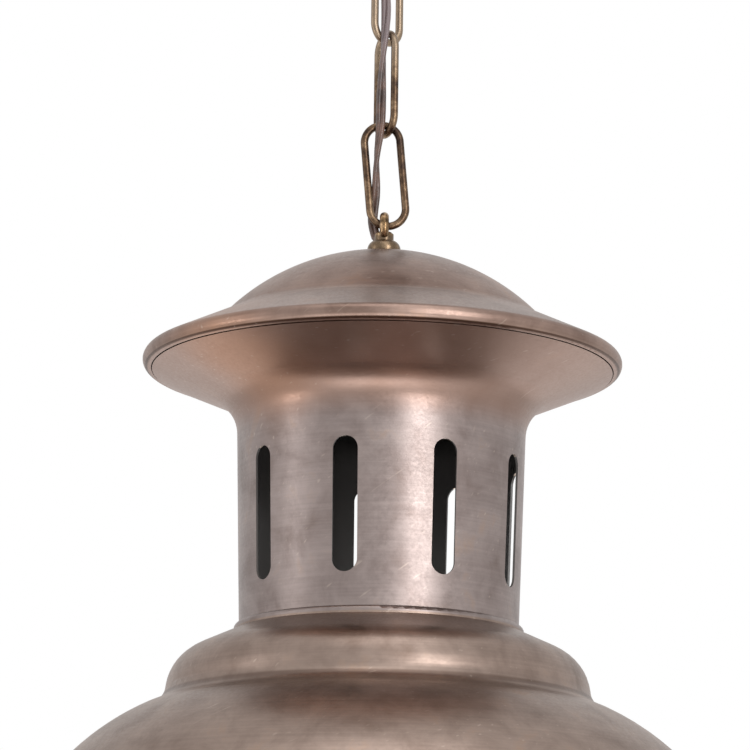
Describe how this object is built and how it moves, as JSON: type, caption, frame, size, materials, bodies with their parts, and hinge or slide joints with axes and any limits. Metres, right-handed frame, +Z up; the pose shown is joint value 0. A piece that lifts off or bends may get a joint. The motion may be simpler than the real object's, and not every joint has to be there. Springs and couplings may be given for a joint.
{
  "type": "hanging lantern",
  "caption": "Spun metal lantern with a domed cap, slotted chimney and wide bell shade, hung on a short oval-link chain from a ceiling canopy.",
  "frame": {"origin": "middle of the mounting strap's face on the ceiling", "axes": "+Z up along the chain and lantern axis, into the ceiling; -Y towards the front, +X to the right, along the mounting strap"},
  "size_m": [0.399, 0.399, 0.6626],
  "materials": {
    "spun_shell": "antique pewter-bronze patina over spun brass",
    "rim_wire": "iron wire",
    "cast_brass": "aged cast brass",
    "chain": "brown antique-plated steel",
    "zinc_steel": "zinc-plated steel",
    "aluminium_rivet": "plain",
    "holder_brass": "lacquered spun brass",
    "porcelain": "white glaze",
    "terminal_brass": "bright",
    "screw_steel": "zinc-plated",
    "block_nylon": "natural nylon",
    "flex_sheath": "brown translucent sheath, twisted twin",
    "core_brown": "brown insulation",
    "core_blue": "blue insulation",
    "bulb_glass": "frosted",
    "mount_glass": "clear",
    "bulb_cap": "plain",
    "cap_insulator": "black vitrite",
    "filament": "tungsten"
  },
  "bodies": {
    "ceiling": {"mounting_strap": "zinc_steel", "ceiling_canopy": "spun_shell", "canopy_washer": "zinc_steel", "canopy_coupling": "zinc_steel", "canopy_nipple": "zinc_steel", "strap_locknuts": "zinc_steel", "canopy_loop": "cast_brass", "terminal_block": "block_nylon", "terminal_block_screws": "screw_steel", "conductor_live_top": "core_brown", "conductor_neutral_top": "core_blue", "flex_in_canopy": "flex_sheath", "flex_span_1": "flex_sheath"},
    "link_1": {"chain_link_1": "chain", "flex_span_2": "flex_sheath"},
    "link_2": {"chain_link_2": "chain", "flex_span_3": "flex_sheath"},
    "link_3": {"chain_link_3": "chain", "flex_span_4": "flex_sheath"},
    "link_4": {"chain_link_4": "chain", "flex_span_5": "flex_sheath"},
    "lantern": {"hanging_loop": "cast_brass", "cap_washer": "zinc_steel", "stem_coupling": "zinc_steel", "stem": "zinc_steel", "stem_washer": "zinc_steel", "stem_nut": "zinc_steel", "cap": "spun_shell", "chimney": "spun_shell", "shade": "spun_shell", "shade_rim_wire": "rim_wire", "spider": "zinc_steel", "spider_rivets": "aluminium_rivet", "lampholder_cover": "holder_brass", "lampholder_body": "porcelain", "lampholder_shell": "terminal_brass", "lampholder_contact": "terminal_brass", "lampholder_terminals": "terminal_brass", "lampholder_screws": "screw_steel", "conductor_live": "core_brown", "conductor_neutral": "core_blue", "flex_in_stem": "flex_sheath"},
    "bulb": {"bulb_glass": "bulb_glass", "bulb_cap": "bulb_cap", "bulb_insulator": "cap_insulator", "bulb_contact": "terminal_brass", "bulb_mount": "mount_glass", "bulb_leads": "filament", "bulb_filament": "filament"}
  },
  "joints": [
    {"name": "link_1_swing", "type": "hinge", "parent": "ceiling", "child": "link_1", "pos_m": [0, 0, -0.06715], "axis": [0.6947, 0.7193, 0], "range_deg": [-20, 20], "deforming": ["flex_span_1"]},
    {"name": "link_2_swing", "type": "hinge", "parent": "link_1", "child": "link_2", "pos_m": [0, 0, -0.11925], "axis": [0.7193, -0.6947, 0], "range_deg": [-20, 20], "deforming": ["flex_span_2"]},
    {"name": "link_3_swing", "type": "hinge", "parent": "link_2", "child": "link_3", "pos_m": [0, 0, -0.17175], "axis": [0.6947, 0.7193, 0], "range_deg": [-20, 20], "deforming": ["flex_span_3"]},
    {"name": "link_4_swing", "type": "hinge", "parent": "link_3", "child": "link_4", "pos_m": [0, 0, -0.22425], "axis": [0.4695, -0.8829, 0], "range_deg": [-20, 20], "deforming": ["flex_span_4"]},
    {"name": "lantern_swing", "type": "hinge", "parent": "link_4", "child": "lantern", "pos_m": [0, 0, -0.27588], "axis": [0.9838, 0, -0.179], "range_deg": [-20, 20], "deforming": ["flex_span_5"]},
    {"name": "bulb_unscrew", "type": "slide", "parent": "lantern", "child": "bulb", "axis": [0, 0, 1], "range_m": [-0.032, 0]}
  ]
}
